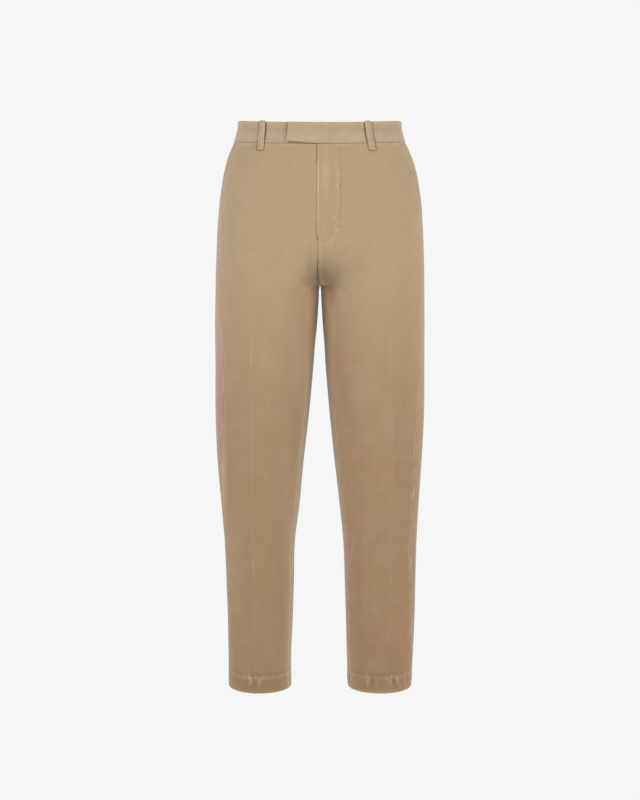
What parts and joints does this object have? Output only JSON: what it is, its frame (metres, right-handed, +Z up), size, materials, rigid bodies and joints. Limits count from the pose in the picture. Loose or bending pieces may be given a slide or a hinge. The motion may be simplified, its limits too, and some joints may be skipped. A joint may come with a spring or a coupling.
{
  "type": "cropped corduroy trousers",
  "caption": "Cropped corduroy trousers, filled out and held at the waist: tapered legs, turned hems, tabbed waistband over a fly, slanted side pockets and belt loops.",
  "frame": {"origin": "centre of the waist opening, level with the waistband's top edge at the sides", "axes": "+Z up towards the waist, -Y the front, +X the wearer's left"},
  "size_m": [0.3648, 0.2481, 1.0019],
  "materials": {
    "trouser_cord": "fine-wale cotton corduroy, brushed and garment-dyed sand brown, matte",
    "waistband_cord": "the same corduroy, pressed flat, slightly paler at worn edges",
    "sewing_thread": "matching cotton thread"
  },
  "bodies": {
    "root": {"front_left": "trouser_cord", "front_right": "trouser_cord", "back_left": "trouser_cord", "back_right": "trouser_cord", "pocket_facing_left": "trouser_cord", "pocket_facing_right": "trouser_cord", "waistband_left": "waistband_cord", "waistband_right": "waistband_cord", "belt_loop_front_left": "waistband_cord", "belt_loop_front_right": "waistband_cord", "belt_loop_side_back_left": "waistband_cord", "belt_loop_side_back_right": "waistband_cord", "belt_loop_centre_back": "waistband_cord"}
  },
  "joints": []
}
